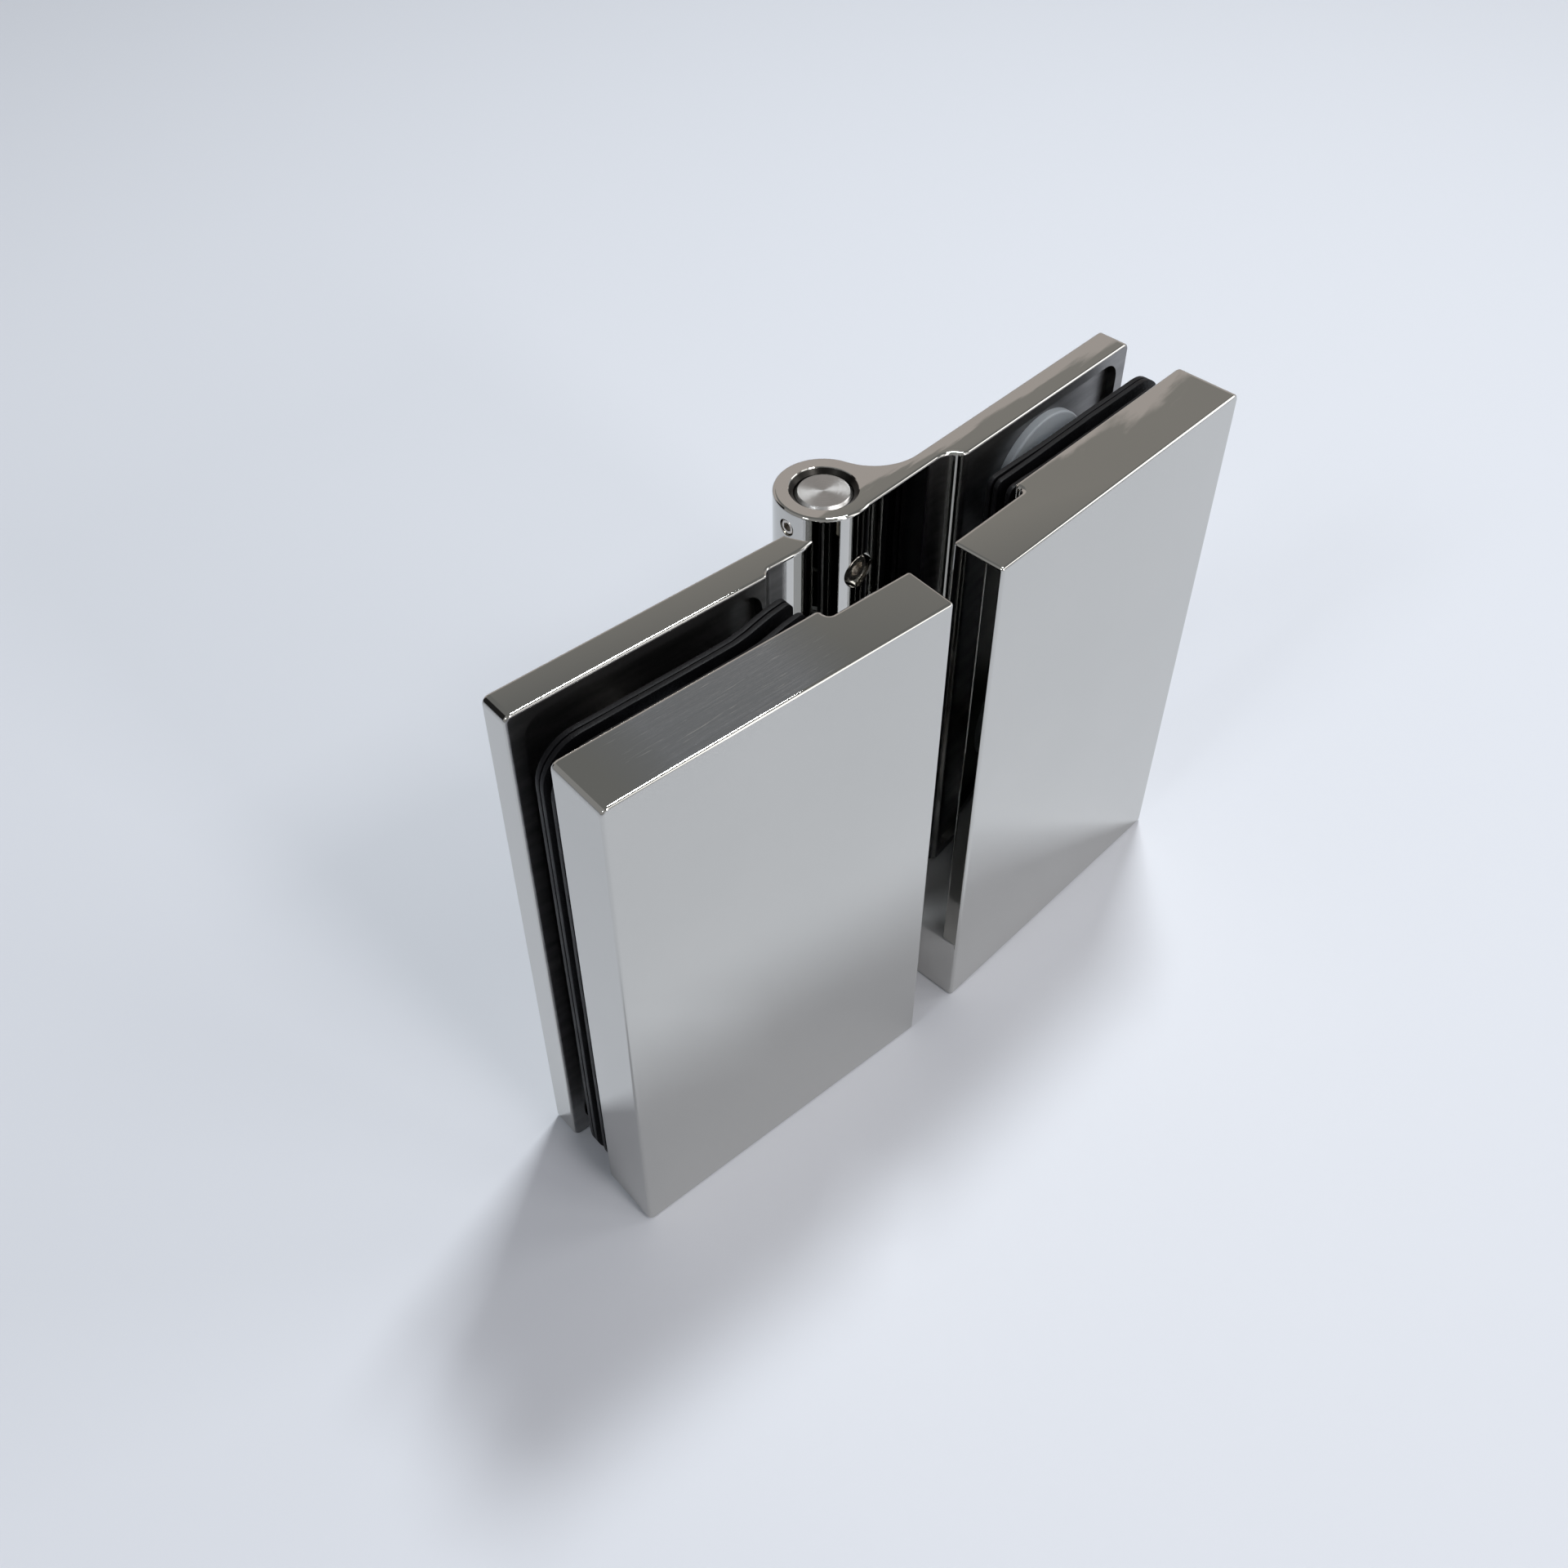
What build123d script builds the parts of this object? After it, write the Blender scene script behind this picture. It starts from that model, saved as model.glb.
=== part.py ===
# Glass-to-glass shower door hinge with its knuckles on the back, standing on its lower edges.
# Sizes in millimetres. The origin is on the pivot axis, level with the lower edges. X runs along the
# left leaf towards the right leaf, Y from the clean front faces to the knuckle side, and Z is up.
# Every piece of a leaf is drawn for a flat right-hand leaf. The left leaf is its mirror image, and the
# right leaf is swung back about the pivot axis by the angle at which the hinge stands.
import os
from math import cos, radians, sin, sqrt

from build123d import *

# Leaves
plate_height = 90.0
leaf_width = 53.3  # from a leaf's pivot-side edge to its outer end
edge_to_axis = 3.0  # from the pivot axis to that pivot-side edge
rest_angle = 6.2

# Depths, one behind the other from the front face to the pivot axis
front_thickness = 10.0
glass_slot = 8.75
back_thickness = 4.95
back_to_axis = 3.9

# Relief beside the pivot, where both plates are thinner
left_relief_width = 13.3
right_relief_width = 14.0
right_front_relief_width = 14.75
front_relief = 1.8
front_relief_slant = 0.1
left_back_relief = 1.0
left_relief_slant = 0.9
right_back_relief = 2.25
right_relief_slant = 1.7
front_shoulder = 0.4  # rounds of a relief's step, as shares of its depth
front_hollow = 0.45
back_shoulder = 0.72
back_hollow = 1.3

# Rounded edges of the polished plates
edge_round = 0.45
inner_edge_round = 0.6
pivot_edge_round = 0.4
end_round = 1.1

# Pocket in the inner face of each back plate
pocket_depth = 1.5
pocket_side_rim = 1.8
pocket_end_rim = 2.3
pocket_inner_rim = 0.8
pocket_corner = 3.0

# Knuckles, pin and what lies between them
knuckle_radius = 6.8
outer_knuckle_height = 22.0
knuckle_gap = 1.0
swing_radius = 11.0  # each plate is cut back to this radius beside the other leaf's knuckles
web_round = 8.0
nose_length = 3.7
nose_drop = 0.55
mouth_chamfer = 0.7
pin_radius = 4.0
pin_recess = 0.4
pin_chamfer = 0.5
running_clearance = 0.05
sleeve_wall = 1.0
sleeve_length = 16.0
washer_thickness = 0.8
washer_inset = 0.3

# Set screws that lock the pin in the outer knuckles
front_set_angle = -90.0
front_set_height = 10.1  # from the nearer end of the barrel
front_set_radius = 2.0
front_set_seat_radius = 2.6
front_set_seat_depth = 1.0
front_set_proud = 0.45
front_set_socket = 2.0
side_set_height = 2.9
side_set_radius = 1.2
side_set_angle = 176.5
side_set_inset = 0.2
side_set_socket = 1.2
set_socket_depth = 0.9
set_screw_chamfer = 0.25

# Clamp screws, with a nylon bush round each
screw_from_edge = 35.0
screw_from_top = 14.0
screw_radius = 3.0
screw_head_radius = 5.5
screw_head_below_face = 0.3
screw_socket = 4.0
screw_socket_depth = 2.0
screw_grip = 6.0  # length held in the front plate
screw_tip_chamfer = 0.5
hole_clearance = 0.2
thread_clearance = 0.05
bush_flange_radius = 10.0
bush_flange_thickness = 1.25
bush_neck_radius = 6.0
bush_neck_length = 0.85
bush_edge = 0.3

# Rubber sheets, three in each glass slot, with room for a bush flange behind the first
sheet_thickness = 0.7
sheet_gap = 0.15
sheet_from_relief = 0.7
sheet_from_end = 0.2
sheet_side_rim = 1.2
sheet_pivot_corner = 1.2
sheet_end_corner = 6.0
sheet_hole_gap = 0.3

# Places that follow from the sizes above
leaf_end = edge_to_axis + leaf_width
back_face = -back_to_axis
clamp_face = back_face - back_thickness
front_inner = clamp_face - glass_slot
front_face = front_inner - front_thickness
pocket_floor = clamp_face + pocket_depth
left_relief = edge_to_axis + left_relief_width
right_relief = edge_to_axis + right_relief_width
right_front_relief = edge_to_axis + right_front_relief_width
screw_out = edge_to_axis + screw_from_edge
screw_places = [(screw_from_top, screw_out), (plate_height - screw_from_top, screw_out)]
middle_low = outer_knuckle_height + knuckle_gap
middle_high = plate_height - middle_low
pin_bore = pin_radius + running_clearance
sleeve_radius = pin_bore + sleeve_wall
middle_bore = sleeve_radius + running_clearance
head_depth = screw_head_radius - screw_radius

os.makedirs("parts", exist_ok=True)


def finish(part, name):
    """Label a finished piece and write it."""
    part.label = name
    export_step(part, "parts/" + name + ".step")


def finish_left(flat_piece, name):
    """Mirror a piece of the flat right-hand leaf to the left leaf."""
    with BuildPart() as placed:
        mirror(flat_piece, about=Plane.YZ)
    finish(placed.part, name)


def finish_right(flat_piece, name):
    """Swing a piece of the flat right-hand leaf back with the right leaf."""
    with BuildPart() as placed:
        add(flat_piece, rotation=(0, 0, rest_angle))
    finish(placed.part, name)


def facing_back(depth):
    """A plane across the leaf at one depth: its x is the height and its y the way out."""
    return Plane(origin=(0, depth, 0), x_dir=(0, 0, 1), z_dir=(0, 1, 0))


def set_screw_plane(angle, height, radius):
    """A plane across a set screw at one radius, facing out of the screw's mouth."""
    outward = (cos(radians(angle)), sin(radians(angle)))
    return Plane(
        origin=(radius * outward[0], radius * outward[1], height),
        x_dir=(0, 0, 1),
        z_dir=(*outward, 0),
    )


def round_corner(section, corner, radius):
    """Round the corner of a section that lies at one place."""
    fillet(section.vertices().sort_by_distance((*corner, 0))[0], radius)


def front_plate(relief_end):
    """The thick clean plate on the front, thinner beside the pivot."""
    relief_face = front_inner - front_relief
    with BuildPart() as plate:
        with BuildSketch() as section:
            with BuildLine():
                Polyline(
                    (edge_to_axis, front_face),
                    (leaf_end, front_face),
                    (leaf_end, front_inner),
                    (relief_end + front_relief_slant, front_inner),
                    (relief_end, relief_face),
                    (edge_to_axis, relief_face),
                    close=True,
                )
            make_face()
            shoulder = (relief_end + front_relief_slant, front_inner)
            round_corner(section, shoulder, front_shoulder * front_relief)
            round_corner(section, (relief_end, relief_face), front_hollow * front_relief)
        extrude(amount=plate_height)
        fillet(plate.faces().sort_by(Axis.X)[-1].edges().filter_by(Axis.Y), end_round)
        fillet(plate.faces().sort_by(Axis.X)[0].edges().filter_by(Axis.Y), pivot_edge_round)
        inner_face = plate.faces().filter_by(Axis.Y).sort_by(Axis.Y)[-1]
        inner_rim = inner_face.edges().sort_by(Axis.X)[1:]
        caps = plate.faces().filter_by(Plane.XY).edges()
        step_rims = caps.filter_by_position(Axis.Y, relief_face, front_inner, inclusive=(True, False))
        fillet(inner_rim + step_rims, inner_edge_round)
        fillet(plate.faces().sort_by(Axis.Y)[0].edges(), edge_round)
        with BuildSketch(facing_back(front_inner)):
            with Locations(*screw_places):
                Circle(screw_radius + thread_clearance)
        extrude(amount=-(screw_grip + hole_clearance), mode=Mode.SUBTRACT)
    return plate.part


def back_plate(relief_end, relief, slant, nose, knuckles, bore):
    """The thin plate on the back with its knuckles, cut back beside the other leaf's knuckles."""
    relief_face = clamp_face + relief
    arm_face = max(relief_face, -knuckle_radius)
    arm_stub = knuckle_radius + web_round
    web_corner = (sqrt(knuckle_radius**2 - back_face**2), back_face)
    tip = sqrt(swing_radius**2 - (relief_face + nose) ** 2)
    levels = [0.0] + [level for span in knuckles for level in span] + [plate_height]
    head_seat = back_face - screw_head_below_face
    pocket_start = relief_end + slant + pocket_inner_rim
    pocket_length = leaf_end - pocket_end_rim - pocket_start
    with BuildPart() as plate:
        with BuildSketch() as section:
            with BuildLine():
                outline = Polyline(
                    (pin_radius, relief_face + nose),
                    (pin_radius, back_face),
                    (leaf_end, back_face),
                    (leaf_end, clamp_face),
                    (relief_end + slant, clamp_face),
                    (relief_end, relief_face),
                    (tip + nose_length, relief_face),
                )
                if nose > 0:
                    TangentArc(outline @ 1, (tip, relief_face + nose), tangent=(-1, 0))
                    Line((tip, relief_face + nose), outline @ 0)
                else:
                    Line(outline @ 1, outline @ 0)
            make_face()
            round_corner(section, (relief_end + slant, clamp_face), back_shoulder * relief)
            round_corner(section, (relief_end, relief_face), back_hollow * relief)
        extrude(amount=plate_height)
        for low, high in zip(levels[0::2], levels[1::2]):
            if high > low:
                with BuildSketch(Plane.XY.offset(low)):
                    Circle(swing_radius)
                extrude(amount=high - low, mode=Mode.SUBTRACT)
        for low, high in knuckles:
            with BuildSketch(Plane.XY.offset(low)) as knuckle:
                Circle(knuckle_radius)
                with BuildLine():
                    Polyline(
                        (0, arm_face),
                        (arm_stub, arm_face),
                        (arm_stub, back_face),
                        (0, back_face),
                        close=True,
                    )
                make_face()
                fillet(knuckle.vertices().sort_by_distance((*web_corner, low))[0], web_round)
            extrude(amount=high - low)
        fillet(plate.faces().sort_by(Axis.X)[-1].edges().filter_by(Axis.Y), end_round)
        ends = plate.faces().filter_by(Plane.XY).sort_by(Axis.Z)
        uprights = plate.faces().sort_by(Axis.X)[-1].edges().filter_by(Axis.Z)
        fillet(ends[0].edges() + ends[-1].edges() + uprights, edge_round)
        with BuildSketch():
            Circle(bore)
        extrude(amount=plate_height, mode=Mode.SUBTRACT)
        with BuildSketch(facing_back(clamp_face)):
            with Locations((plate_height / 2, pocket_start + pocket_length / 2)):
                RectangleRounded(plate_height - 2 * pocket_side_rim, pocket_length, pocket_corner)
        extrude(amount=pocket_depth, mode=Mode.SUBTRACT)
        with BuildSketch(facing_back(pocket_floor)):
            with Locations(*screw_places):
                Circle(screw_radius + hole_clearance)
        extrude(amount=back_face - pocket_floor, mode=Mode.SUBTRACT)
        with BuildSketch(facing_back(head_seat)):
            with Locations(*screw_places):
                Circle(screw_head_radius + hole_clearance)
        extrude(amount=screw_head_below_face, mode=Mode.SUBTRACT)
        with BuildSketch(facing_back(head_seat)):
            with Locations(*screw_places):
                Circle(screw_head_radius + hole_clearance)
        extrude(amount=-head_depth, taper=45, mode=Mode.SUBTRACT)
    return plate.part


def set_screw(angle, height, radius, mouth, socket):
    """A set screw with a hexagon socket, from just clear of the pin out to its mouth."""
    with BuildPart() as screw:
        with BuildSketch(set_screw_plane(angle, height, mouth)):
            Circle(radius)
        extrude(amount=-(mouth - pin_bore))
        chamfer(screw.edges().filter_by(GeomType.CIRCLE), set_screw_chamfer)
        with BuildSketch(set_screw_plane(angle, height, mouth)):
            RegularPolygon(socket / 2, 6, major_radius=False)
        extrude(amount=-set_socket_depth, mode=Mode.SUBTRACT)
    return screw.part


def clamp_screw(height):
    """A countersunk screw from the back plate into the front plate."""
    head_seat = back_face - screw_head_below_face
    shank_start = head_seat - head_depth
    shank_end = front_inner - screw_grip
    with BuildPart() as screw:
        with BuildSketch(facing_back(head_seat)):
            with Locations((height, screw_out)):
                Circle(screw_head_radius)
        extrude(amount=-head_depth, taper=45)
        with BuildSketch(facing_back(shank_start)):
            with Locations((height, screw_out)):
                Circle(screw_radius)
        extrude(amount=shank_end - shank_start)
        chamfer(screw.faces().sort_by(Axis.Y)[0].edges(), screw_tip_chamfer)
        with BuildSketch(facing_back(head_seat)):
            with Locations((height, screw_out)):
                RegularPolygon(screw_socket / 2, 6, major_radius=False)
        extrude(amount=-screw_socket_depth, mode=Mode.SUBTRACT)
    return screw.part


def glass_bush(height, flange_back):
    """A loose nylon bush round a clamp screw: a wide flange and a short neck towards the front."""
    flange_front = flange_back - bush_flange_thickness
    with BuildPart() as bush:
        with BuildSketch(facing_back(flange_back)):
            with Locations((height, screw_out)):
                Circle(bush_flange_radius)
        extrude(amount=-bush_flange_thickness)
        fillet(bush.faces().sort_by(Axis.Y)[0].edges(), bush_edge)
        with BuildSketch(facing_back(flange_front)):
            with Locations((height, screw_out)):
                Circle(bush_neck_radius)
        extrude(amount=-bush_neck_length)
        chamfer(bush.faces().sort_by(Axis.Y)[0].edges(), bush_edge)
        with BuildSketch(facing_back(flange_back)):
            with Locations((height, screw_out)):
                Circle(screw_radius + hole_clearance)
        extrude(amount=-(bush_flange_thickness + bush_neck_length), mode=Mode.SUBTRACT)
    return bush.part


def rubber_sheet(relief_end, depth, round_radius):
    """A loose rubber sheet in the glass slot, with a hole round what passes through it."""
    length = leaf_end - sheet_from_end - relief_end - sheet_from_relief
    middle_out = relief_end + sheet_from_relief + length / 2
    with BuildPart() as sheet:
        with BuildSketch(facing_back(depth)) as outline:
            with Locations((plate_height / 2, middle_out)):
                Rectangle(plate_height - 2 * sheet_side_rim, length)
            fillet(outline.vertices().sort_by(Axis.Y)[:2], sheet_pivot_corner)
            fillet(outline.vertices().sort_by(Axis.Y)[-2:], sheet_end_corner)
            with Locations(*screw_places):
                Circle(round_radius + sheet_hole_gap, mode=Mode.SUBTRACT)
        extrude(amount=sheet_thickness)
    return sheet.part


# Right leaf: a knuckle at each end of the barrel, which hold the pin with two set screws each
outer_knuckles = [(0.0, outer_knuckle_height), (plate_height - outer_knuckle_height, plate_height)]
front_set_seat = knuckle_radius - front_set_seat_depth
set_heights = {
    "lower": (front_set_height, side_set_height),
    "upper": (plate_height - front_set_height, plate_height - side_set_height),
}
with BuildPart() as right_back_plate:
    add(back_plate(right_relief, right_back_relief, right_relief_slant, 0.0, outer_knuckles, pin_bore))
    for barrel_end in (-Plane.XY, Plane.XY.offset(plate_height)):
        with BuildSketch(barrel_end):
            Circle(pin_bore + mouth_chamfer)
        extrude(amount=-mouth_chamfer, taper=45, mode=Mode.SUBTRACT)
    for front_height, side_height in set_heights.values():
        with BuildSketch(set_screw_plane(front_set_angle, front_height, knuckle_radius)):
            Circle(front_set_seat_radius)
        extrude(amount=-front_set_seat_depth, mode=Mode.SUBTRACT)
        with BuildSketch(set_screw_plane(front_set_angle, front_height, knuckle_radius)):
            Circle(front_set_radius + thread_clearance)
        extrude(amount=-knuckle_radius, mode=Mode.SUBTRACT)
        with BuildSketch(set_screw_plane(side_set_angle, side_height, knuckle_radius)):
            Circle(side_set_radius + thread_clearance)
        extrude(amount=-knuckle_radius, mode=Mode.SUBTRACT)
finish_right(right_back_plate.part, "right_back_plate")

for end, (front_height, side_height) in set_heights.items():
    front_mouth = front_set_seat + front_set_proud
    front_screw = set_screw(front_set_angle, front_height, front_set_radius, front_mouth, front_set_socket)
    finish_right(front_screw, end + "_front_set_screw")
    side_mouth = knuckle_radius - side_set_inset
    side_screw = set_screw(side_set_angle, side_height, side_set_radius, side_mouth, side_set_socket)
    finish_right(side_screw, end + "_side_set_screw")

# Left leaf: one long knuckle in the middle, with a nylon sleeve in each of its ends
middle_knuckle = [(middle_low, middle_high)]
left_back_plate = back_plate(
    left_relief, left_back_relief, left_relief_slant, nose_drop, middle_knuckle, middle_bore
)
finish_left(left_back_plate, "left_back_plate")

# Both leaves: front plate, clamp screws, bushes and rubber sheets. With no glass in the slots the
# bushes are loose: the left pair lies behind the front sheet, and the right pair in the back plate's pocket.
front_sheet_depth = front_inner + sheet_gap
left_flange_back = front_sheet_depth + bush_neck_length + bush_flange_thickness
middle_sheet_depth = left_flange_back + sheet_gap
back_sheet_depth = middle_sheet_depth + sheet_thickness + sheet_gap
sheets = {
    "front": (front_sheet_depth, bush_neck_radius),
    "middle": (middle_sheet_depth, screw_radius),
    "back": (back_sheet_depth, screw_radius),
}
leaves = (
    ("left", finish_left, left_relief, left_relief, left_flange_back),
    ("right", finish_right, right_front_relief, right_relief, pocket_floor),
)
for side, place, front_relief_end, relief_end, flange_back in leaves:
    place(front_plate(front_relief_end), side + "_front_plate")
    for end, (height, _) in zip(("lower", "upper"), screw_places):
        place(clamp_screw(height), side + "_" + end + "_clamp_screw")
        place(glass_bush(height, flange_back), side + "_" + end + "_glass_bush")
    for level, (depth, round_radius) in sheets.items():
        place(rubber_sheet(relief_end, depth, round_radius), side + "_" + level + "_rubber_sheet")

# Barrel: the pin, and the sleeves and thrust washers that it turns in
with BuildPart() as hinge_pin:
    with BuildSketch(Plane.XY.offset(pin_recess)):
        Circle(pin_radius)
    extrude(amount=plate_height - 2 * pin_recess)
    chamfer(hinge_pin.edges().filter_by(GeomType.CIRCLE), pin_chamfer)
finish_right(hinge_pin.part, "hinge_pin")

sleeve_starts = {"lower": middle_low, "upper": middle_high - sleeve_length}
washer_middles = {"lower": middle_low - knuckle_gap / 2, "upper": middle_high + knuckle_gap / 2}
for end in ("lower", "upper"):
    with BuildPart() as sleeve:
        with BuildSketch(Plane.XY.offset(sleeve_starts[end])):
            Circle(sleeve_radius)
            Circle(pin_bore, mode=Mode.SUBTRACT)
        extrude(amount=sleeve_length)
    finish(sleeve.part, end + "_pin_sleeve")
    with BuildPart() as washer:
        with BuildSketch(Plane.XY.offset(washer_middles[end] - washer_thickness / 2)):
            Circle(knuckle_radius - washer_inset)
            Circle(pin_bore, mode=Mode.SUBTRACT)
        extrude(amount=washer_thickness)
    finish(washer.part, end + "_thrust_washer")
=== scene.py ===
# Looks of the glass shower door hinge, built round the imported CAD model. Metres, in the model's own frame.
from math import cos, pi, radians, sin

import bmesh
import bpy
from mathutils import Matrix, Vector, noise
from mathutils.geometry import delaunay_2d_cdt


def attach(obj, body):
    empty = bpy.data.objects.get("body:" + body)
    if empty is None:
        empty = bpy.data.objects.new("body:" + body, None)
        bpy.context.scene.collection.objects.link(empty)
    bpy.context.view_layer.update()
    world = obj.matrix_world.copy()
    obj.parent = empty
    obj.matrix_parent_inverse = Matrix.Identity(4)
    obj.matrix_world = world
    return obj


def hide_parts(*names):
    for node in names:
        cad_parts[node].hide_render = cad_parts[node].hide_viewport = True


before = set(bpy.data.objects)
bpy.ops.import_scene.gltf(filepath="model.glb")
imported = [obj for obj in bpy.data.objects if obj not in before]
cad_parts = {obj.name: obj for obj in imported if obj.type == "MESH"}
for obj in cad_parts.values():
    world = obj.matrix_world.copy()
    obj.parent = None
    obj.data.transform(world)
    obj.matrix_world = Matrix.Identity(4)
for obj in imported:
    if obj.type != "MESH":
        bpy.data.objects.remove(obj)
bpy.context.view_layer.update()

MM = 0.001

# Leaf coordinates are out from the pivot axis, depth behind it, and height. These turn them into the frame's.
LEFT_TURN, RIGHT_TURN = 0.0, radians(6.2)
LEAF_MATRICES = {
    "left": Matrix.Scale(-1.0, 3, (1.0, 0.0, 0.0)),
    "right": Matrix.Rotation(RIGHT_TURN, 3, "Z"),
}


# Small helpers for node trees

def new_material(name):
    """An empty Principled material, its tree and its shader."""
    material = bpy.data.materials.new(name)
    material.use_nodes = True
    tree = material.node_tree
    return material, tree, tree.nodes["Principled BSDF"]


def add_node(tree, kind, inputs=None, **settings):
    """A new node, with its settings, and its inputs set to a value or linked to an output."""
    made = tree.nodes.new(kind)
    for key, value in settings.items():
        setattr(made, key, value)
    for key, value in (inputs or {}).items():
        if isinstance(value, bpy.types.NodeSocket):
            tree.links.new(value, made.inputs[key])
        else:
            made.inputs[key].default_value = value
    return made


def noise_field(tree, place, scale=1.0, detail=4.0, roughness=0.5):
    """A noise texture's value over a place."""
    made = add_node(tree, "ShaderNodeTexNoise",
                    {"Vector": place, "Scale": scale, "Detail": detail, "Roughness": roughness})
    return made.outputs["Fac"]


def stretched(tree, place, scale, rotation=(0.0, 0.0, 0.0)):
    """A place stretched along its axes."""
    made = add_node(tree, "ShaderNodeMapping", {"Vector": place, "Rotation": rotation, "Scale": scale})
    return made.outputs["Vector"]


def map_range(tree, value, low, high, to_low, to_high):
    """A value carried from one range to another."""
    made = add_node(tree, "ShaderNodeMapRange", {
        "Value": value, "From Min": low, "From Max": high, "To Min": to_low, "To Max": to_high,
    })
    return made.outputs["Result"]


def mixed(tree, factor, first, second):
    """Two colours mixed."""
    made = add_node(tree, "ShaderNodeMix", {"Factor": factor}, data_type="RGBA")
    for socket, value in ((made.inputs[6], first), (made.inputs[7], second)):
        if isinstance(value, bpy.types.NodeSocket):
            tree.links.new(value, socket)
        else:
            socket.default_value = value
    return made.outputs[2]


def object_place(tree):
    """The place on a piece, in the model's frame at rest."""
    return add_node(tree, "ShaderNodeTexCoord").outputs["Object"]


def axis_distance(tree):
    """How far a place lies from the pivot axis."""
    flat = add_node(tree, "ShaderNodeVectorMath", {0: object_place(tree), 1: (1.0, 1.0, 0.0)},
                    operation="MULTIPLY")
    return add_node(tree, "ShaderNodeVectorMath", {0: flat.outputs[0]}, operation="LENGTH").outputs["Value"]


def bumped(tree, height, strength, distance):
    """A normal bent by a height."""
    made = add_node(tree, "ShaderNodeBump", {"Height": height, "Strength": strength, "Distance": distance})
    return made.outputs["Normal"]


def linked_to(shader, name):
    """The output that feeds an input of a shader."""
    return shader.inputs[name].links[0].from_socket


# Materials. Distances out from the pivot axis, then depths of the plates' middles.

BARREL_SIDE = 13.0 * MM
MOUTH_RADIUS = 4.7 * MM
MOUTH_FADE = 0.1 * MM
TOP_BAND_FROM = 53.0 * MM
TOP_BAND_TO = 18.0 * MM
TOP_BAND_FADE = 8.0 * MM
FRONT_PLATE_MIDDLE = -22.6 * MM
BACK_PLATE_MIDDLE = -6.375 * MM

# A surface counts as a top from the first of these upward parts of its normal, and fully from the second.
TOP_FROM, TOP_FULL = 0.995, 0.9995
# Noise hardly leaves this range.
NOISE_LOW, NOISE_HIGH = 0.3, 0.7
GRAIN_DEPTH = 0.1 * MM
RUBBER_GRAIN_DEPTH = 0.2 * MM
# How far light spreads inside the nylon.
NYLON_GLOW = 2.0 * MM

PLATE_DARK, PLATE_LIGHT = (0.545, 0.541, 0.519, 1.0), (0.578, 0.571, 0.547, 1.0)
# Colour of the rubbed middle of a top, made bluish as a painted reflection.
RUBBED_AND_PAINTED_REFLECTION = (0.575, 0.590, 0.625, 1.0)
SCRATCHED = (0.90, 0.90, 0.90, 1.0)
# Painted shade for the back plates' faces inside the slots, mottled between these two.
SLOT_SHADE_DARK, SLOT_SHADE_LIGHT = (0.12, 0.12, 0.125, 1.0), (0.36, 0.355, 0.35, 1.0)
# Painted shade for the dark gap round the pin's end.
PIN_MOUTH_SHADE = (0.025, 0.024, 0.022, 1.0)
RUBBER_BLACK, RUBBER_DUST = (0.003, 0.003, 0.004, 1.0), (0.010, 0.010, 0.012, 1.0)
NYLON_DARK, NYLON_LIGHT = (0.76, 0.86, 0.95, 1.0), (0.86, 0.93, 1.0, 1.0)
TURNED_STEEL = (0.56, 0.555, 0.55, 1.0)
SCREW_STEEL = (0.55, 0.52, 0.48, 1.0)
PALE_FLOOR = (0.76, 0.78, 0.83, 1.0)


def polished_metal(name):
    """Mirror-polished plate metal with faint wipe marks."""
    material, tree, shader = new_material(name)
    place = object_place(tree)
    smear = noise_field(tree, place, scale=45.0, detail=3.0)
    colour = mixed(tree, smear, PLATE_DARK, PLATE_LIGHT)
    tree.links.new(colour, shader.inputs["Base Color"])
    tree.links.new(map_range(tree, smear, NOISE_LOW, NOISE_HIGH, 0.012, 0.030), shader.inputs["Roughness"])
    shader.inputs["Metallic"].default_value = 1.0
    return material


def wear_top_and_paint_reflection(material):
    """Rubs the middle of a left plate's top with lapping lines and a few bright scratches, and paints a
    bluish reflection tone over that middle.
    """
    tree = material.node_tree
    shader = tree.nodes["Principled BSDF"]
    coordinates = add_node(tree, "ShaderNodeTexCoord").outputs
    place = coordinates["Object"]
    across = add_node(tree, "ShaderNodeSeparateXYZ", {"Vector": place}).outputs["X"]
    upward = add_node(tree, "ShaderNodeSeparateXYZ", {"Vector": coordinates["Normal"]}).outputs["Z"]
    inward = map_range(tree, across, -TOP_BAND_TO, -TOP_BAND_TO - TOP_BAND_FADE, 0.0, 1.0)
    middle = map_range(tree, across, -TOP_BAND_FROM, -TOP_BAND_FROM + TOP_BAND_FADE, 0.0, inward)
    worn_and_painted_reflection = map_range(tree, upward, TOP_FROM, TOP_FULL, 0.0, middle)
    lines = noise_field(tree, stretched(tree, place, (60.0, 2600.0, 60.0)), detail=5.0, roughness=0.7)
    streaks = noise_field(tree, stretched(tree, place, (230.0, 4200.0, 230.0), (0.0, 0.0, 0.12)), detail=2.0)
    scratches = map_range(tree, streaks, 0.66, 0.74, 0.0, worn_and_painted_reflection)
    bright = linked_to(shader, "Base Color")
    smooth = linked_to(shader, "Roughness")
    # Painted reflection: the middle of the top takes a bluish tone, with bright scratches over it.
    rubbed_and_painted_reflection = mixed(tree, worn_and_painted_reflection, bright, RUBBED_AND_PAINTED_REFLECTION)
    tree.links.new(mixed(tree, scratches, rubbed_and_painted_reflection, SCRATCHED), shader.inputs["Base Color"])
    lapped = map_range(tree, lines, NOISE_LOW, NOISE_HIGH, 0.05, 0.13)
    tree.links.new(map_range(tree, worn_and_painted_reflection, 0.0, 1.0, smooth, lapped), shader.inputs["Roughness"])
    strength = map_range(tree, worn_and_painted_reflection, 0.0, 1.0, 0.0, 0.20)
    tree.links.new(bumped(tree, lines, strength, GRAIN_DEPTH), shader.inputs["Normal"])


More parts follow.
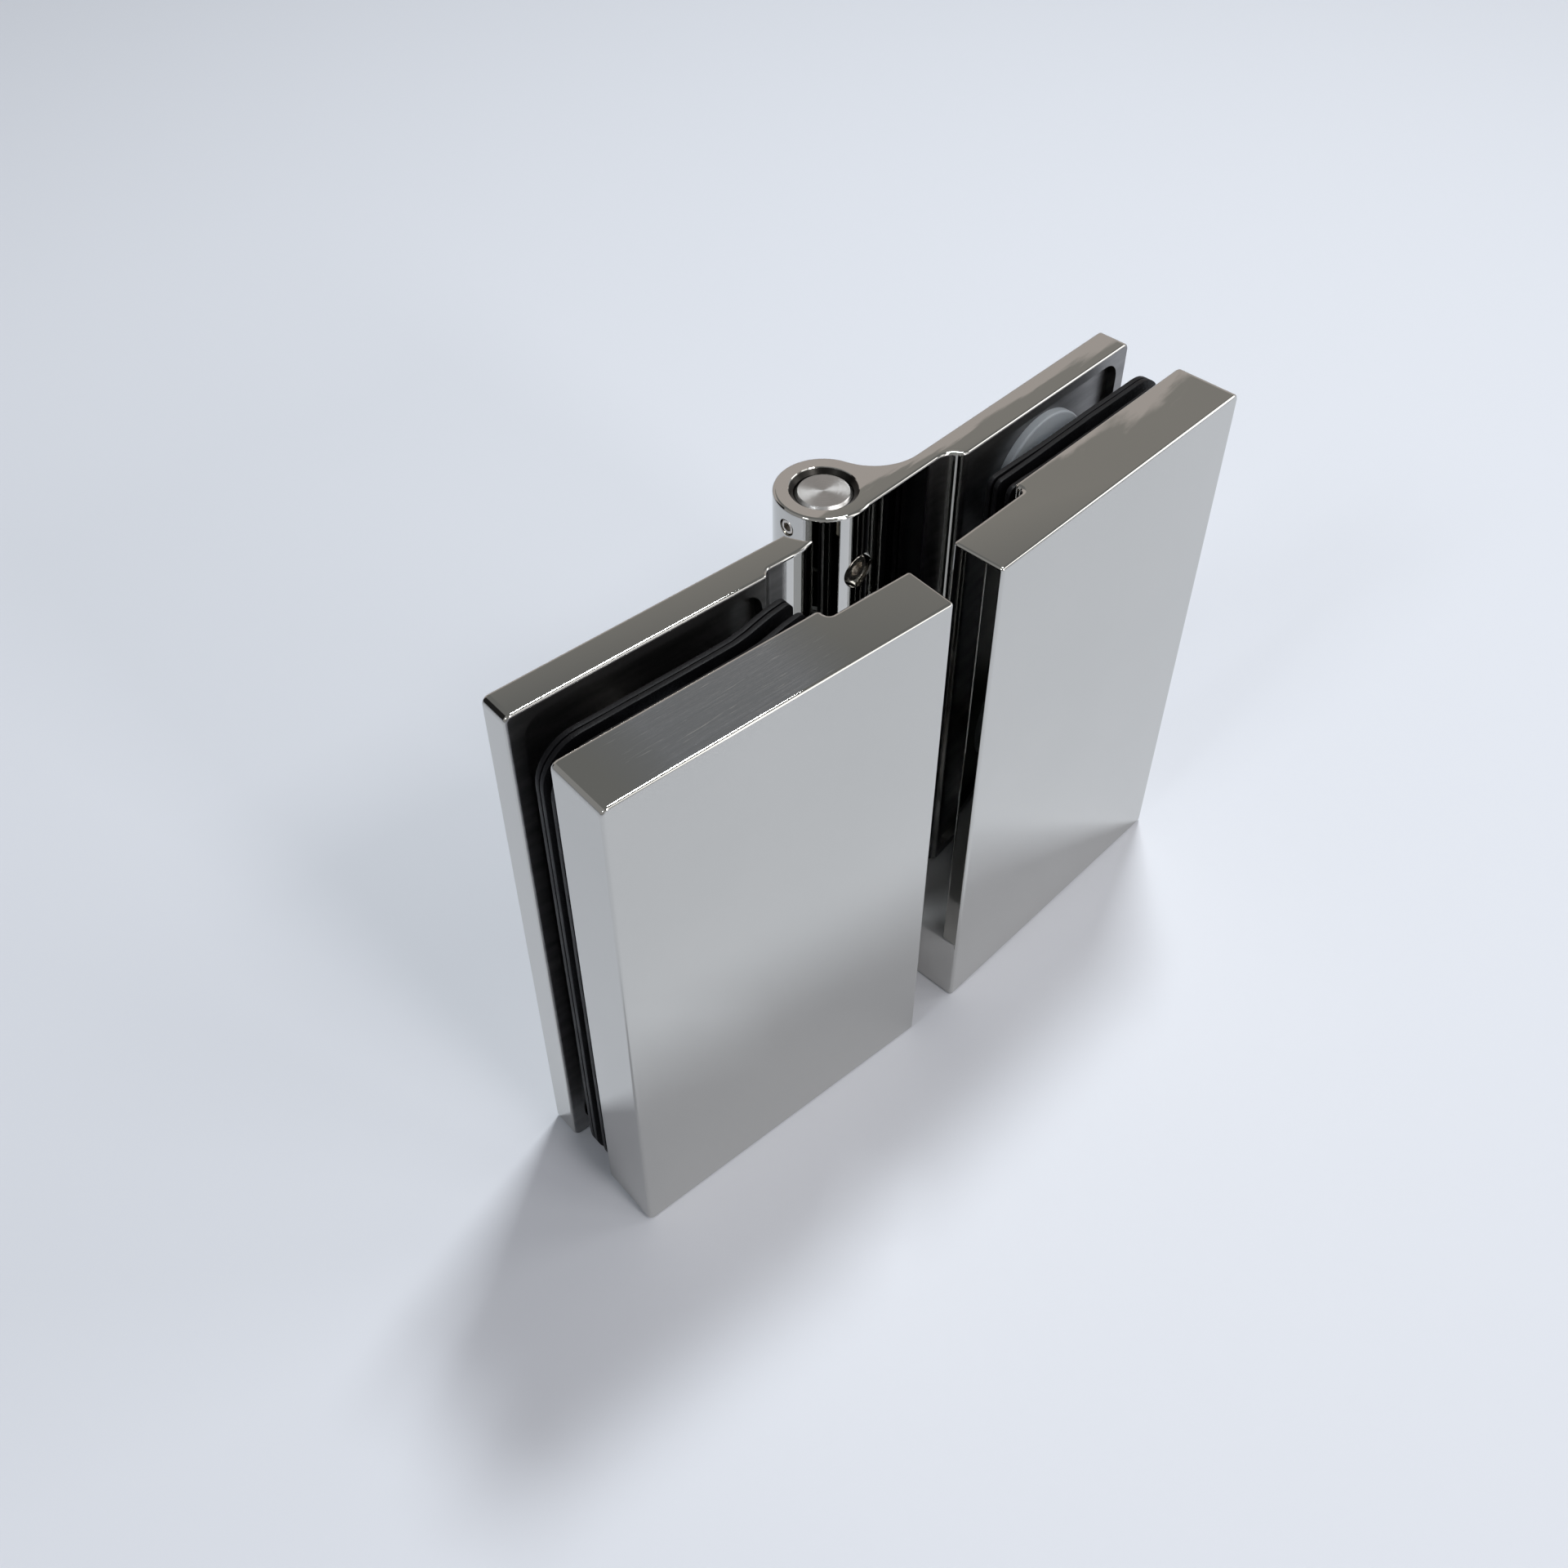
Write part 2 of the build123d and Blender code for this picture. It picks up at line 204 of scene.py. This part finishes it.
def split_for_leaf(tree, vector, turn):
    """A vector's parts along a leaf, across it and upward."""
    along = stretched(tree, vector, (1.0, 1.0, 1.0), (0.0, 0.0, -turn))
    return add_node(tree, "ShaderNodeSeparateXYZ", {"Vector": along}).outputs


def dull_and_shade_slot_face(material, turn):
    """Leaves a back plate unpolished where it faces the slot, and paints shade over that face."""
    tree = material.node_tree
    shader = tree.nodes["Principled BSDF"]
    coordinates = add_node(tree, "ShaderNodeTexCoord").outputs
    place = split_for_leaf(tree, coordinates["Object"], turn)
    normal = split_for_leaf(tree, coordinates["Normal"], turn)
    out = add_node(tree, "ShaderNodeMath", {0: place["X"]}, operation="ABSOLUTE").outputs[0]
    past_barrel = map_range(tree, out, BARREL_SIDE, BARREL_SIDE + MM, 0.0, 1.0)
    dull_and_shaded = map_range(tree, normal["Y"], -0.6, -0.9, 0.0, past_barrel)
    shade_mottle = noise_field(tree, stretched(tree, coordinates["Object"], (90.0, 90.0, 500.0)), roughness=0.6)
    # Painted shade: the face in the slot darkens to a mottled dark grey.
    painted_slot_shade = mixed(tree, shade_mottle, SLOT_SHADE_DARK, SLOT_SHADE_LIGHT)
    bright = linked_to(shader, "Base Color")
    smooth = linked_to(shader, "Roughness")
    tree.links.new(mixed(tree, dull_and_shaded, bright, painted_slot_shade), shader.inputs["Base Color"])
    tree.links.new(map_range(tree, dull_and_shaded, 0.0, 1.0, smooth, 0.38), shader.inputs["Roughness"])


def shade_pin_mouth(material):
    """Paints shade over the countersunk mouth round the pin."""
    tree = material.node_tree
    shader = tree.nodes["Principled BSDF"]
    # Painted shade: a ring round the pin darkens to near black.
    painted_mouth_shade = map_range(tree, axis_distance(tree), MOUTH_RADIUS, MOUTH_RADIUS - MOUTH_FADE, 0.0, 1.0)
    bright = linked_to(shader, "Base Color")
    smooth = linked_to(shader, "Roughness")
    tree.links.new(mixed(tree, painted_mouth_shade, bright, PIN_MOUTH_SHADE), shader.inputs["Base Color"])
    tree.links.new(map_range(tree, painted_mouth_shade, 0.0, 1.0, smooth, 0.3), shader.inputs["Roughness"])


def crown_top(material, turn, middle, crown, lean):
    """Bends a plate's top to a slight crown, as hand polishing does, and leans it."""
    tree = material.node_tree
    coordinates = add_node(tree, "ShaderNodeTexCoord").outputs
    place = split_for_leaf(tree, coordinates["Object"], turn)
    facing = split_for_leaf(tree, coordinates["Normal"], turn)
    depth = add_node(tree, "ShaderNodeMath", {0: place["Y"], 1: middle}, operation="SUBTRACT").outputs[0]
    square = add_node(tree, "ShaderNodeMath", {0: depth, 1: depth}, operation="MULTIPLY").outputs[0]
    bulge = add_node(tree, "ShaderNodeMath", {0: square, 1: -crown}, operation="MULTIPLY").outputs[0]
    height = add_node(tree, "ShaderNodeMath", {0: depth, 1: lean, 2: bulge},
                      operation="MULTIPLY_ADD").outputs[0]
    upward = map_range(tree, facing["Z"], TOP_FROM, TOP_FULL, 0.0, 1.0)
    tree.links.new(bumped(tree, height, upward, 1.0), tree.nodes["Principled BSDF"].inputs["Normal"])


def turned_metal(name):
    """Faced steel whose fine rings lie round the pivot axis."""
    material, tree, shader = new_material(name)
    outward = add_node(tree, "ShaderNodeCombineXYZ", {"X": axis_distance(tree)}).outputs[0]
    rings = noise_field(tree, outward, scale=9000.0, detail=3.0, roughness=0.6)
    tree.links.new(bumped(tree, rings, 0.2, GRAIN_DEPTH), shader.inputs["Normal"])
    tree.links.new(map_range(tree, rings, NOISE_LOW, NOISE_HIGH, 0.16, 0.26), shader.inputs["Roughness"])
    shader.inputs["Base Color"].default_value = TURNED_STEEL
    shader.inputs["Metallic"].default_value = 1.0
    shader.inputs["Anisotropic"].default_value = 0.85
    tree.links.new(add_node(tree, "ShaderNodeTangent", direction_type="RADIAL", axis="Z").outputs[0],
                   shader.inputs["Tangent"])
    return material


def screw_steel(name):
    """Plain screw steel, a little dull."""
    material, tree, shader = new_material(name)
    place = object_place(tree)
    grain = noise_field(tree, place, scale=1800.0, detail=3.0)
    tree.links.new(bumped(tree, grain, 0.15, GRAIN_DEPTH), shader.inputs["Normal"])
    tree.links.new(map_range(tree, grain, NOISE_LOW, NOISE_HIGH, 0.14, 0.28), shader.inputs["Roughness"])
    shader.inputs["Base Color"].default_value = SCREW_STEEL
    shader.inputs["Metallic"].default_value = 1.0
    return material


def black_rubber(name):
    """Matte black sheet rubber with dust in its grain."""
    material, tree, shader = new_material(name)
    place = object_place(tree)
    grain = noise_field(tree, place, scale=2200.0, roughness=0.6)
    dust = noise_field(tree, place, scale=160.0, detail=5.0, roughness=0.6)
    colour = mixed(tree, map_range(tree, dust, 0.5, 0.8, 0.0, 1.0), RUBBER_BLACK, RUBBER_DUST)
    tree.links.new(colour, shader.inputs["Base Color"])
    tree.links.new(map_range(tree, dust, NOISE_LOW, NOISE_HIGH, 0.42, 0.6), shader.inputs["Roughness"])
    tree.links.new(bumped(tree, grain, 0.3, RUBBER_GRAIN_DEPTH), shader.inputs["Normal"])
    shader.inputs["Specular IOR Level"].default_value = 0.16
    return material


def white_nylon(name):
    """Milky moulded nylon."""
    material, tree, shader = new_material(name)
    place = object_place(tree)
    cloud = noise_field(tree, place, scale=220.0, detail=3.0)
    colour = mixed(tree, cloud, NYLON_DARK, NYLON_LIGHT)
    tree.links.new(colour, shader.inputs["Base Color"])
    tree.links.new(map_range(tree, cloud, NOISE_LOW, NOISE_HIGH, 0.32, 0.45), shader.inputs["Roughness"])
    shader.inputs["Subsurface Weight"].default_value = 0.3
    shader.inputs["Subsurface Radius"].default_value = (NYLON_GLOW, NYLON_GLOW, NYLON_GLOW)
    shader.inputs["Subsurface Scale"].default_value = 1.0
    return material


plates = {
    "left_front_plate": polished_metal("LeftFrontPlate"),
    "right_front_plate": polished_metal("RightFrontPlate"),
    "left_back_plate": polished_metal("LeftBackPlate"),
    "right_back_plate": polished_metal("RightBackPlate"),
}
wear_top_and_paint_reflection(plates["left_front_plate"])
dull_and_shade_slot_face(plates["left_back_plate"], LEFT_TURN)
dull_and_shade_slot_face(plates["right_back_plate"], RIGHT_TURN)
shade_pin_mouth(plates["right_back_plate"])
crown_top(plates["left_back_plate"], LEFT_TURN, BACK_PLATE_MIDDLE, crown=2.0, lean=-0.012)
crown_top(plates["right_back_plate"], RIGHT_TURN, BACK_PLATE_MIDDLE, crown=7.0, lean=0.016)
crown_top(plates["right_front_plate"], RIGHT_TURN, FRONT_PLATE_MIDDLE, crown=2.6, lean=0.004)
turned = turned_metal("TurnedPinEnd")
screw_metal = screw_steel("ScrewSteel")
rubber = black_rubber("BlackRubber")
nylon = white_nylon("MilkyNylon")

looks = {}
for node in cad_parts:
    if node in plates:
        looks[node] = plates[node]
    elif "screw" in node:
        looks[node] = screw_metal
    elif "rubber" in node:
        looks[node] = rubber
    elif node == "hinge_pin":
        looks[node] = turned
    else:
        looks[node] = nylon
for node, material in looks.items():
    for material_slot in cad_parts[node].material_slots:
        material_slot.material = material


# Rubber sheets: cut with round corners, and a little bowed and wavy in the open slots

PIVOT_CORNER = 1.2 * MM
END_CORNER = 6.0 * MM
SHEET_STEP = 2.2 * MM
HOLE_SEGMENTS = 40
SHEET_EDGE = 0.12 * MM
CORNER_SEGMENTS = 8
EDGE_ANGLE = radians(50.0)
SHARP_ANGLE = radians(32.0)


def eased(value):
    """A step that rises smoothly from 0 to 1."""
    value = min(max(value, 0.0), 1.0)
    return value * value * (3.0 - 2.0 * value)


def leaf_box(node, leaf):
    """A CAD node's lowest and highest corners in leaf coordinates."""
    to_leaf = LEAF_MATRICES[leaf].transposed()
    points = [to_leaf @ vertex.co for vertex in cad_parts[node].data.vertices]
    return (Vector([min(point[axis] for point in points) for axis in range(3)]),
            Vector([max(point[axis] for point in points) for axis in range(3)]))


def corner_radius(out, low, high):
    """A sheet's corner radius, which is small at the pivot end and large at the open end."""
    return END_CORNER if out > (low.x + high.x) / 2 else PIVOT_CORNER


def rounded_outline(low, high):
    """Points round a rectangle with round corners, no further apart than a step."""
    corners = []
    for turn, (x, y) in enumerate([(high.x, high.y), (low.x, high.y), (low.x, low.y), (high.x, low.y)]):
        radius = corner_radius(x, low, high)
        centre = Vector((x - radius if x == high.x else x + radius,
                         y - radius if y == high.y else y + radius))
        for step in range(CORNER_SEGMENTS + 1):
            angle = pi / 2 * (turn + step / CORNER_SEGMENTS)
            corners.append(centre + Vector((cos(angle), sin(angle))) * radius)
    points = []
    for start, end in zip(corners, corners[1:] + corners[:1]):
        parts = max(1, round((end - start).length / SHEET_STEP))
        points += [start.lerp(end, part / parts) for part in range(parts)]
    return points


def cut_sheet(low, high, centres, hole_radius):
    """A flat sheet's points and triangles, with round holes."""
    loops = [rounded_outline(low, high)]
    for centre in centres:
        loops.append([centre + Vector((cos(angle), sin(angle))) * hole_radius
                      for angle in (2 * pi * part / HOLE_SEGMENTS for part in range(HOLE_SEGMENTS))])
    points, edges = [], []
    for loop in loops:
        first = len(points)
        points += loop
        edges += [(first + part, first + (part + 1) % len(loop)) for part in range(len(loop))]
    columns = int((high.x - low.x) / SHEET_STEP)
    rows = int((high.y - low.y) / SHEET_STEP)
    for column in range(1, columns):
        for row in range(1, rows):
            point = Vector((low.x + (high.x - low.x) * column / columns,
                            low.y + (high.y - low.y) * row / rows))
            radius = corner_radius(point.x, low, high)
            corner = Vector((max(abs(point.x - (low.x + high.x) / 2) - (high.x - low.x) / 2 + radius, 0.0),
                             max(abs(point.y - (low.y + high.y) / 2) - (high.y - low.y) / 2 + radius, 0.0)))
            clear = all((point - centre).length > hole_radius + SHEET_STEP / 2 for centre in centres)
            if clear and corner.length < radius - SHEET_STEP / 2:
                points.append(point)
    flat, _, faces, *_ = delaunay_2d_cdt(points, edges, [], 1, 1e-7)
    kept = []
    for face in faces:
        middle = sum((flat[index] for index in face), Vector((0.0, 0.0))) / len(face)
        if all((middle - centre).length > hole_radius for centre in centres):
            kept.append(face)
    return flat, kept


def rubber_sheet(node, leaf, hole_radius, bow):
    """A rubber sheet in place of its CAD node, bent by a depth that depends on where it is."""
    low, high = leaf_box(node, leaf)
    screws = []
    for level in ("lower", "upper"):
        screw_low, screw_high = leaf_box("%s_%s_clamp_screw" % (leaf, level), leaf)
        screws.append(Vector(((screw_low.x + screw_high.x) / 2, (screw_low.z + screw_high.z) / 2)))
    flat, faces = cut_sheet(low.xz, high.xz, screws, hole_radius)
    middle = (low.y + high.y) / 2
    place = LEAF_MATRICES[leaf]
    bent = []
    for point in flat:
        depth = middle + bow(point.x / MM, point.y / MM) * MM
        bent.append(place @ Vector((point.x, depth, point.y)))
    mesh = bpy.data.meshes.new(node + "_flat")
    mesh.from_pydata(bent, [], faces)
    flat_piece = bpy.data.objects.new(node + "_flat", mesh)
    bpy.context.scene.collection.objects.link(flat_piece)
    solid = flat_piece.modifiers.new("thickness", "SOLIDIFY")
    solid.thickness = high.y - low.y
    solid.offset = 0.0
    edge = flat_piece.modifiers.new("edge", "BEVEL")
    edge.width = SHEET_EDGE
    edge.segments = 2
    edge.limit_method = "ANGLE"
    edge.angle_limit = EDGE_ANGLE
    thick = bpy.data.meshes.new_from_object(flat_piece.evaluated_get(bpy.context.evaluated_depsgraph_get()))
    bpy.data.objects.remove(flat_piece)
    shaped = bmesh.new()
    shaped.from_mesh(thick)
    bmesh.ops.recalc_face_normals(shaped, faces=shaped.faces)
    shaped.to_mesh(thick)
    shaped.free()
    thick.shade_smooth()
    thick.set_sharp_from_angle(angle=SHARP_ANGLE)
    thick.materials.clear()
    thick.materials.append(rubber)
    piece = bpy.data.objects.new("wavy_" + node, thick)
    bpy.context.scene.collection.objects.link(piece)
    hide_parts(node)
    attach(piece, leaf + "_leaf")
    return piece


def ripple_at(out, height, seed):
    """A slight unevenness of hand-cut rubber, in millimetres."""
    return 0.10 * noise.noise(Vector((out / 9.0, height / 14.0, seed))) \
        + 0.05 * noise.noise(Vector((out / 3.0, height / 5.0, seed + 7.0)))


def left_front_bow(out, height):
    """Pressed back at the pivot end of the slot."""
    return 1.35 * eased((27.0 - out) / 9.5) + ripple_at(out, height, 1.0)


def left_middle_bow(out, height):
    """Pressed back at the pivot end, behind the front sheet."""
    return 1.55 * eased((28.0 - out) / 10.5) + 0.6 * ripple_at(out, height, 5.0)


def left_back_bow(out, height):
    """Close behind the middle sheet, a little further off towards both ends."""
    spread = 0.10 * eased((out - 46.0) / 6.0) + 0.10 * eased((30.0 - out) / 8.0)
    return left_middle_bow(out, height) + spread + 0.3 * ripple_at(out, height, 23.0)


def right_front_bow(out, height):
    """Almost flat."""
    return 0.2 * eased((27.0 - out) / 9.0) + ripple_at(out, height, 11.0)


def right_middle_bow(out, height):
    """Almost flat."""
    return ripple_at(out, height, 17.0)


def right_back_bow(out, height):
    """Close behind the middle sheet, a little further off towards the pivot."""
    spread = 0.25 * eased((32.0 - out) / 12.0)
    return right_middle_bow(out, height) + spread + 0.3 * ripple_at(out, height, 31.0)


BUSH_HOLE = 6.3 * MM
SCREW_HOLE = 3.3 * MM
SHEETS = {
    "left": {
        "front": (BUSH_HOLE, left_front_bow),
        "middle": (SCREW_HOLE, left_middle_bow),
        "back": (SCREW_HOLE, left_back_bow),
    },
    "right": {
        "front": (BUSH_HOLE, right_front_bow),
        "middle": (SCREW_HOLE, right_middle_bow),
        "back": (SCREW_HOLE, right_back_bow),
    },
}
for leaf, levels in SHEETS.items():
    for level, (hole_radius, bow) in levels.items():
        rubber_sheet("%s_%s_rubber_sheet" % (leaf, level), leaf, hole_radius, bow)


# Floor, world and lights

FLOOR_SIZE = 6.0
floor_mesh = bpy.data.meshes.new("floor")
half = FLOOR_SIZE / 2
floor_mesh.from_pydata(
    [(-half, -half, 0.0), (half, -half, 0.0), (half, half, 0.0), (-half, half, 0.0)], [], [(0, 1, 2, 3)]
)
floor = bpy.data.objects.new("floor", floor_mesh)
bpy.context.scene.collection.objects.link(floor)
floor_material, floor_tree, floor_shader = new_material("PaleFloor")
floor_shader.inputs["Base Color"].default_value = PALE_FLOOR
floor_shader.inputs["Roughness"].default_value = 0.7
floor_shader.inputs["Specular IOR Level"].default_value = 0.2
floor_mesh.materials.append(floor_material)

# The world is a plain dim room. Reflections show its ceiling, whose edge over the back wall is ragged, its
# warm walls and a dark doorway on the left.
ROOM_LIGHT = (0.172, 0.180, 0.195, 1.0)
BACKDROP = (0.76, 0.79, 0.85, 1.0)
CEILING = (0.205, 0.207, 0.202, 1.0)
CEILING_EDGE = (0.32, 0.308, 0.29, 1.0)
BACK_WALL = (0.56, 0.515, 0.49, 1.0)
FRONT_WALL = (0.72, 0.75, 0.80, 1.0)
LEFT_WALL = (0.34, 0.338, 0.335, 1.0)
DOORWAY = (0.02, 0.02, 0.02, 1.0)
EDGE_RAGGED = 0.016

world = bpy.data.worlds.new("studio")
bpy.context.scene.world = world
world.use_nodes = True
world_tree = world.node_tree
background = world_tree.nodes["Background"]
path = add_node(world_tree, "ShaderNodeLightPath").outputs
direction = add_node(world_tree, "ShaderNodeTexCoord").outputs["Generated"]
split = add_node(world_tree, "ShaderNodeSeparateXYZ", {"Vector": direction}).outputs
ragged = noise_field(world_tree, direction, scale=26.0, detail=5.0, roughness=0.6)
ragged = map_range(world_tree, ragged, NOISE_LOW, NOISE_HIGH, -EDGE_RAGGED, EDGE_RAGGED)
aside = map_range(world_tree, split["X"], 0.60, 0.75, 0.0, 0.075)
edge = add_node(world_tree, "ShaderNodeMath", {0: split["Z"], 1: ragged}, operation="ADD").outputs[0]
edge = add_node(world_tree, "ShaderNodeMath", {0: edge, 1: aside}, operation="ADD").outputs[0]
ceiling = mixed(world_tree, map_range(world_tree, split["Z"], 0.605, 0.685, 0.0, 1.0), CEILING_EDGE, CEILING)
behind = mixed(world_tree, map_range(world_tree, edge, 0.580, 0.590, 0.0, 1.0), BACK_WALL, ceiling)
before = mixed(world_tree, map_range(world_tree, split["Z"], 0.10, 0.45, 0.0, 1.0), FRONT_WALL, ceiling)
room = mixed(world_tree, map_range(world_tree, split["Y"], -0.1, 0.1, 0.0, 1.0), before, behind)
left = mixed(world_tree, map_range(world_tree, split["Y"], 0.614, 0.632, 0.0, 1.0), LEFT_WALL, DOORWAY)
room = mixed(world_tree, map_range(world_tree, split["X"], -0.33, -0.41, 0.0, 1.0), room, left)
seen = mixed(world_tree, path["Is Camera Ray"], ROOM_LIGHT, BACKDROP)
seen = mixed(world_tree, path["Is Glossy Ray"], seen, room)
world_tree.links.new(seen, background.inputs["Color"])


def area_light(name, azimuth, elevation, distance, size, power, colour):
    """A soft box that looks at the object from a direction in degrees, with its power in watts."""
    data = bpy.data.lights.new(name, "AREA")
    data.shape = "RECTANGLE"
    data.size, data.size_y = size
    data.energy = power
    data.color = colour
    lamp = bpy.data.objects.new(name, data)
    around, up = radians(azimuth), radians(elevation)
    place = Vector((cos(around) * cos(up), sin(around) * cos(up), sin(up))) * distance
    lamp.location = place
    lamp.rotation_euler = (-place).to_track_quat("-Z", "Y").to_euler()
    bpy.context.scene.collection.objects.link(lamp)
    return lamp


area_light("front_soft_box", -87.0, 26.0, 1.2, (0.16, 0.16), 1.9, (1.0, 0.96, 0.97))
area_light("front_upper_soft_box", -85.0, 51.0, 1.2, (0.25, 0.20), 1.9, (1.0, 0.97, 0.97))
area_light("top_soft_box", 30.0, 68.7, 0.9, (0.14, 0.14), 4.2, (0.94, 0.98, 1.0))
area_light("side_soft_box", 188.0, 42.0, 1.2, (0.2, 0.2), 1.5, (0.95, 0.98, 1.0))
area_light("window_soft_box", -60.0, 30.0, 1.2, (0.30, 1.05), 1.5, (1.0, 0.99, 0.97))
area_light("right_soft_box", -25.0, 28.0, 1.2, (0.40, 0.70), 2.0, (1.0, 0.99, 0.98))


# Camera, from the photograph's perspective

CAMERA_PLACE = (-0.11909, -0.13196, 0.22361)
CAMERA_AIM = (0.44161, 0.51930, -0.73164)
CAMERA_LENS = 38.224

camera_data = bpy.data.cameras.new("camera")
camera_data.lens = CAMERA_LENS
camera_data.sensor_width = 36.0
camera_data.clip_start = 0.01
camera = bpy.data.objects.new("camera", camera_data)
camera.location = CAMERA_PLACE
camera.rotation_euler = Vector(CAMERA_AIM).to_track_quat("-Z", "Y").to_euler()
bpy.context.scene.collection.objects.link(camera)
bpy.context.scene.camera = camera
bpy.context.scene.view_settings.view_transform = "Standard"
